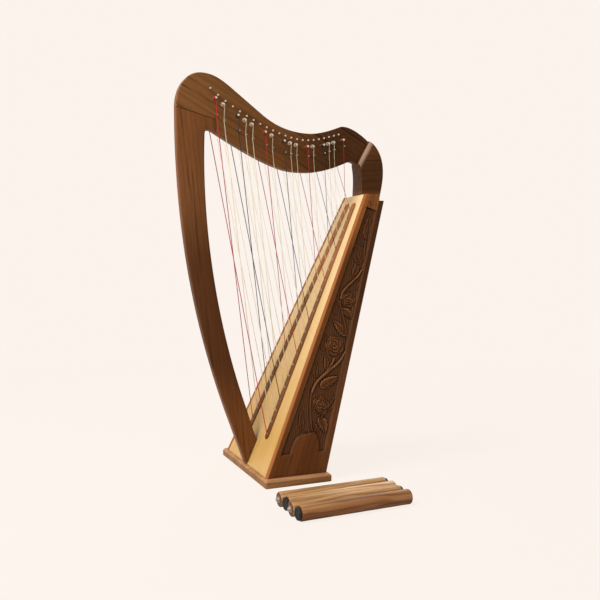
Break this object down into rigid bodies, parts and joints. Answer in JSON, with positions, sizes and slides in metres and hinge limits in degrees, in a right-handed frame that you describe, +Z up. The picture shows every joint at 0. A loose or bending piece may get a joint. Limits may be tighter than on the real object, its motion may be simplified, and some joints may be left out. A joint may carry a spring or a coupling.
{
  "type": "cross-strung harp",
  "caption": "Cross-strung harp: bowed pillar, curved neck with two rows of tuning pins, crossing strings, tapered soundbox on a flat base, and loose screw-in legs lying beside it.",
  "frame": {"origin": "middle of the base plate's underside", "axes": "+X from the pillar towards the back of the soundbox, +Z up, -Y towards the side where the accidental strings are wound and the legs lie"},
  "size_m": [0.4735, 0.4997, 0.8385],
  "materials": {
    "rosewood": "oiled hardwood, satin",
    "dark_rosewood": "oiled hardwood, satin",
    "spruce": "clear satin lacquer",
    "base_wood": "oiled hardwood, satin",
    "leg_wood": "oiled hardwood, satin",
    "inner_wood": "bare wood, unseen",
    "nylon": "smooth nylon; C strings red and F strings black",
    "nickel": "bright nickel plate",
    "rubber": "matt black rubber"
  },
  "bodies": {
    "harp": {"base_plate": "base_wood", "side_panel_near": "rosewood", "side_panel_far": "rosewood", "back_panel": "rosewood", "soundboard": "spruce", "string_rib_naturals": "dark_rosewood", "string_rib_accidentals": "dark_rosewood", "top_block": "rosewood", "bottom_block": "inner_wood", "pillar": "rosewood", "neck": "dark_rosewood", "shoulder": "dark_rosewood", "natural_strings": "nylon", "accidental_strings": "nylon"},
    "leg_1": {"leg_1": "leg_wood", "leg_foot_1": "rubber"},
    "leg_2": {"leg_2": "leg_wood", "leg_foot_2": "rubber"},
    "leg_3": {"leg_3": "leg_wood", "leg_foot_3": "rubber"},
    "leg_4": {"leg_4": "leg_wood", "leg_foot_4": "rubber"},
    "tuning_pin_natural_01": {"tuning_pin_natural_01": "nickel"},
    "tuning_pin_natural_02": {"tuning_pin_natural_02": "nickel"},
    "tuning_pin_natural_03": {"tuning_pin_natural_03": "nickel"},
    "tuning_pin_natural_04": {"tuning_pin_natural_04": "nickel"},
    "tuning_pin_natural_05": {"tuning_pin_natural_05": "nickel"},
    "tuning_pin_natural_06": {"tuning_pin_natural_06": "nickel"},
    "tuning_pin_natural_07": {"tuning_pin_natural_07": "nickel"},
    "tuning_pin_natural_08": {"tuning_pin_natural_08": "nickel"},
    "tuning_pin_natural_09": {"tuning_pin_natural_09": "nickel"},
    "tuning_pin_natural_10": {"tuning_pin_natural_10": "nickel"},
    "tuning_pin_natural_11": {"tuning_pin_natural_11": "nickel"},
    "tuning_pin_natural_12": {"tuning_pin_natural_12": "nickel"},
    "tuning_pin_natural_13": {"tuning_pin_natural_13": "nickel"},
    "tuning_pin_natural_14": {"tuning_pin_natural_14": "nickel"},
    "tuning_pin_natural_15": {"tuning_pin_natural_15": "nickel"},
    "tuning_pin_natural_16": {"tuning_pin_natural_16": "nickel"},
    "tuning_pin_natural_17": {"tuning_pin_natural_17": "nickel"},
    "tuning_pin_natural_18": {"tuning_pin_natural_18": "nickel"},
    "tuning_pin_natural_19": {"tuning_pin_natural_19": "nickel"},
    "tuning_pin_natural_20": {"tuning_pin_natural_20": "nickel"},
    "tuning_pin_natural_21": {"tuning_pin_natural_21": "nickel"},
    "tuning_pin_natural_22": {"tuning_pin_natural_22": "nickel"},
    "tuning_pin_accidental_01": {"tuning_pin_accidental_01": "nickel"},
    "tuning_pin_accidental_02": {"tuning_pin_accidental_02": "nickel"},
    "tuning_pin_accidental_03": {"tuning_pin_accidental_03": "nickel"},
    "tuning_pin_accidental_04": {"tuning_pin_accidental_04": "nickel"},
    "tuning_pin_accidental_05": {"tuning_pin_accidental_05": "nickel"},
    "tuning_pin_accidental_06": {"tuning_pin_accidental_06": "nickel"},
    "tuning_pin_accidental_07": {"tuning_pin_accidental_07": "nickel"},
    "tuning_pin_accidental_08": {"tuning_pin_accidental_08": "nickel"},
    "tuning_pin_accidental_09": {"tuning_pin_accidental_09": "nickel"},
    "tuning_pin_accidental_10": {"tuning_pin_accidental_10": "nickel"},
    "tuning_pin_accidental_11": {"tuning_pin_accidental_11": "nickel"},
    "tuning_pin_accidental_12": {"tuning_pin_accidental_12": "nickel"},
    "tuning_pin_accidental_13": {"tuning_pin_accidental_13": "nickel"},
    "tuning_pin_accidental_14": {"tuning_pin_accidental_14": "nickel"},
    "tuning_pin_accidental_15": {"tuning_pin_accidental_15": "nickel"},
    "tuning_pin_accidental_16": {"tuning_pin_accidental_16": "nickel"}
  },
  "joints": [
    {"name": "leg_1_lift", "type": "slide", "parent": "harp", "child": "leg_1", "axis": [0, 0, 1], "range_m": [0, 0.3]},
    {"name": "leg_2_lift", "type": "slide", "parent": "harp", "child": "leg_2", "axis": [0, 0, 1], "range_m": [0, 0.3]},
    {"name": "leg_3_lift", "type": "slide", "parent": "harp", "child": "leg_3", "axis": [0, 0, 1], "range_m": [0, 0.3]},
    {"name": "leg_4_lift", "type": "slide", "parent": "harp", "child": "leg_4", "axis": [0, 0, 1], "range_m": [0, 0.3]},
    {"name": "natural_01_turn", "type": "hinge", "parent": "harp", "child": "tuning_pin_natural_01", "pos_m": [-0.1436, 0, 0.8069], "axis": [0, 1, 0], "continuous": true},
    {"name": "natural_02_turn", "type": "hinge", "parent": "harp", "child": "tuning_pin_natural_02", "pos_m": [-0.12741, 0, 0.79426], "axis": [0, 1, 0], "continuous": true},
    {"name": "natural_03_turn", "type": "hinge", "parent": "harp", "child": "tuning_pin_natural_03", "pos_m": [-0.11145, 0, 0.78322], "axis": [0, 1, 0], "continuous": true},
    {"name": "natural_04_turn", "type": "hinge", "parent": "harp", "child": "tuning_pin_natural_04", "pos_m": [-0.09572, 0, 0.77333], "axis": [0, 1, 0], "continuous": true},
    {"name": "natural_05_turn", "type": "hinge", "parent": "harp", "child": "tuning_pin_natural_05", "pos_m": [-0.08021, 0, 0.76435], "axis": [0, 1, 0], "continuous": true},
    {"name": "natural_06_turn", "type": "hinge", "parent": "harp", "child": "tuning_pin_natural_06", "pos_m": [-0.06492, 0, 0.75617], "axis": [0, 1, 0], "continuous": true},
    {"name": "natural_07_turn", "type": "hinge", "parent": "harp", "child": "tuning_pin_natural_07", "pos_m": [-0.04987, 0, 0.74865], "axis": [0, 1, 0], "continuous": true},
    {"name": "natural_08_turn", "type": "hinge", "parent": "harp", "child": "tuning_pin_natural_08", "pos_m": [-0.03504, 0, 0.74182], "axis": [0, 1, 0], "continuous": true},
    {"name": "natural_09_turn", "type": "hinge", "parent": "harp", "child": "tuning_pin_natural_09", "pos_m": [-0.02043, 0, 0.7356], "axis": [0, 1, 0], "continuous": true},
    {"name": "natural_10_turn", "type": "hinge", "parent": "harp", "child": "tuning_pin_natural_10", "pos_m": [-0.00605, 0, 0.73006], "axis": [0, 1, 0], "continuous": true},
    {"name": "natural_11_turn", "type": "hinge", "parent": "harp", "child": "tuning_pin_natural_11", "pos_m": [0.0081, 0, 0.72516], "axis": [0, 1, 0], "continuous": true},
    {"name": "natural_12_turn", "type": "hinge", "parent": "harp", "child": "tuning_pin_natural_12", "pos_m": [0.02203, 0, 0.72103], "axis": [0, 1, 0], "continuous": true},
    {"name": "natural_13_turn", "type": "hinge", "parent": "harp", "child": "tuning_pin_natural_13", "pos_m": [0.03573, 0, 0.71771], "axis": [0, 1, 0], "continuous": true},
    {"name": "natural_14_turn", "type": "hinge", "parent": "harp", "child": "tuning_pin_natural_14", "pos_m": [0.0492, 0, 0.71535], "axis": [0, 1, 0], "continuous": true},
    {"name": "natural_15_turn", "type": "hinge", "parent": "harp", "child": "tuning_pin_natural_15", "pos_m": [0.06245, 0, 0.71436], "axis": [0, 1, 0], "continuous": true},
    {"name": "natural_16_turn", "type": "hinge", "parent": "harp", "child": "tuning_pin_natural_16", "pos_m": [0.07548, 0, 0.71476], "axis": [0, 1, 0], "continuous": true},
    {"name": "natural_17_turn", "type": "hinge", "parent": "harp", "child": "tuning_pin_natural_17", "pos_m": [0.08827, 0, 0.7163], "axis": [0, 1, 0], "continuous": true},
    {"name": "natural_18_turn", "type": "hinge", "parent": "harp", "child": "tuning_pin_natural_18", "pos_m": [0.10084, 0, 0.7187], "axis": [0, 1, 0], "continuous": true},
    {"name": "natural_19_turn", "type": "hinge", "parent": "harp", "child": "tuning_pin_natural_19", "pos_m": [0.11319, 0, 0.72176], "axis": [0, 1, 0], "continuous": true},
    {"name": "natural_20_turn", "type": "hinge", "parent": "harp", "child": "tuning_pin_natural_20", "pos_m": [0.12531, 0, 0.72521], "axis": [0, 1, 0], "continuous": true},
    {"name": "natural_21_turn", "type": "hinge", "parent": "harp", "child": "tuning_pin_natural_21", "pos_m": [0.1372, 0, 0.72877], "axis": [0, 1, 0], "continuous": true},
    {"name": "natural_22_turn", "type": "hinge", "parent": "harp", "child": "tuning_pin_natural_22", "pos_m": [0.14887, 0, 0.7322], "axis": [0, 1, 0], "continuous": true},
    {"name": "accidental_01_turn", "type": "hinge", "parent": "harp", "child": "tuning_pin_accidental_01", "pos_m": [-0.13548, 0, 0.78533], "axis": [0, 1, 0], "continuous": true},
    {"name": "accidental_02_turn", "type": "hinge", "parent": "harp", "child": "tuning_pin_accidental_02", "pos_m": [-0.1194, 0, 0.77357], "axis": [0, 1, 0], "continuous": true},
    {"name": "accidental_03_turn", "type": "hinge", "parent": "harp", "child": "tuning_pin_accidental_03", "pos_m": [-0.08793, 0, 0.75373], "axis": [0, 1, 0], "continuous": true},
    {"name": "accidental_04_turn", "type": "hinge", "parent": "harp", "child": "tuning_pin_accidental_04", "pos_m": [-0.07254, 0, 0.74517], "axis": [0, 1, 0], "continuous": true},
    {"name": "accidental_05_turn", "type": "hinge", "parent": "harp", "child": "tuning_pin_accidental_05", "pos_m": [-0.05737, 0, 0.73733], "axis": [0, 1, 0], "continuous": true},
    {"name": "accidental_06_turn", "type": "hinge", "parent": "harp", "child": "tuning_pin_accidental_06", "pos_m": [-0.02771, 0, 0.72364], "axis": [0, 1, 0], "continuous": true},
    {"name": "accidental_07_turn", "type": "hinge", "parent": "harp", "child": "tuning_pin_accidental_07", "pos_m": [-0.01321, 0, 0.71774], "axis": [0, 1, 0], "continuous": true},
    {"name": "accidental_08_turn", "type": "hinge", "parent": "harp", "child": "tuning_pin_accidental_08", "pos_m": [0.01509, 0, 0.70799], "axis": [0, 1, 0], "continuous": true},
    {"name": "accidental_09_turn", "type": "hinge", "parent": "harp", "child": "tuning_pin_accidental_09", "pos_m": [0.02891, 0, 0.70426], "axis": [0, 1, 0], "continuous": true},
    {"name": "accidental_10_turn", "type": "hinge", "parent": "harp", "child": "tuning_pin_accidental_10", "pos_m": [0.04249, 0, 0.70139], "axis": [0, 1, 0], "continuous": true},
    {"name": "accidental_11_turn", "type": "hinge", "parent": "harp", "child": "tuning_pin_accidental_11", "pos_m": [0.06899, 0, 0.6994], "axis": [0, 1, 0], "continuous": true},
    {"name": "accidental_12_turn", "type": "hinge", "parent": "harp", "child": "tuning_pin_accidental_12", "pos_m": [0.0819, 0, 0.70041], "axis": [0, 1, 0], "continuous": true},
    {"name": "accidental_13_turn", "type": "hinge", "parent": "harp", "child": "tuning_pin_accidental_13", "pos_m": [0.10704, 0, 0.70517], "axis": [0, 1, 0], "continuous": true},
    {"name": "accidental_14_turn", "type": "hinge", "parent": "harp", "child": "tuning_pin_accidental_14", "pos_m": [0.11928, 0, 0.70845], "axis": [0, 1, 0], "continuous": true},
    {"name": "accidental_15_turn", "type": "hinge", "parent": "harp", "child": "tuning_pin_accidental_15", "pos_m": [0.13128, 0, 0.71199], "axis": [0, 1, 0], "continuous": true},
    {"name": "accidental_16_turn", "type": "hinge", "parent": "harp", "child": "tuning_pin_accidental_16", "pos_m": [0.15462, 0, 0.71885], "axis": [0, 1, 0], "continuous": true}
  ]
}
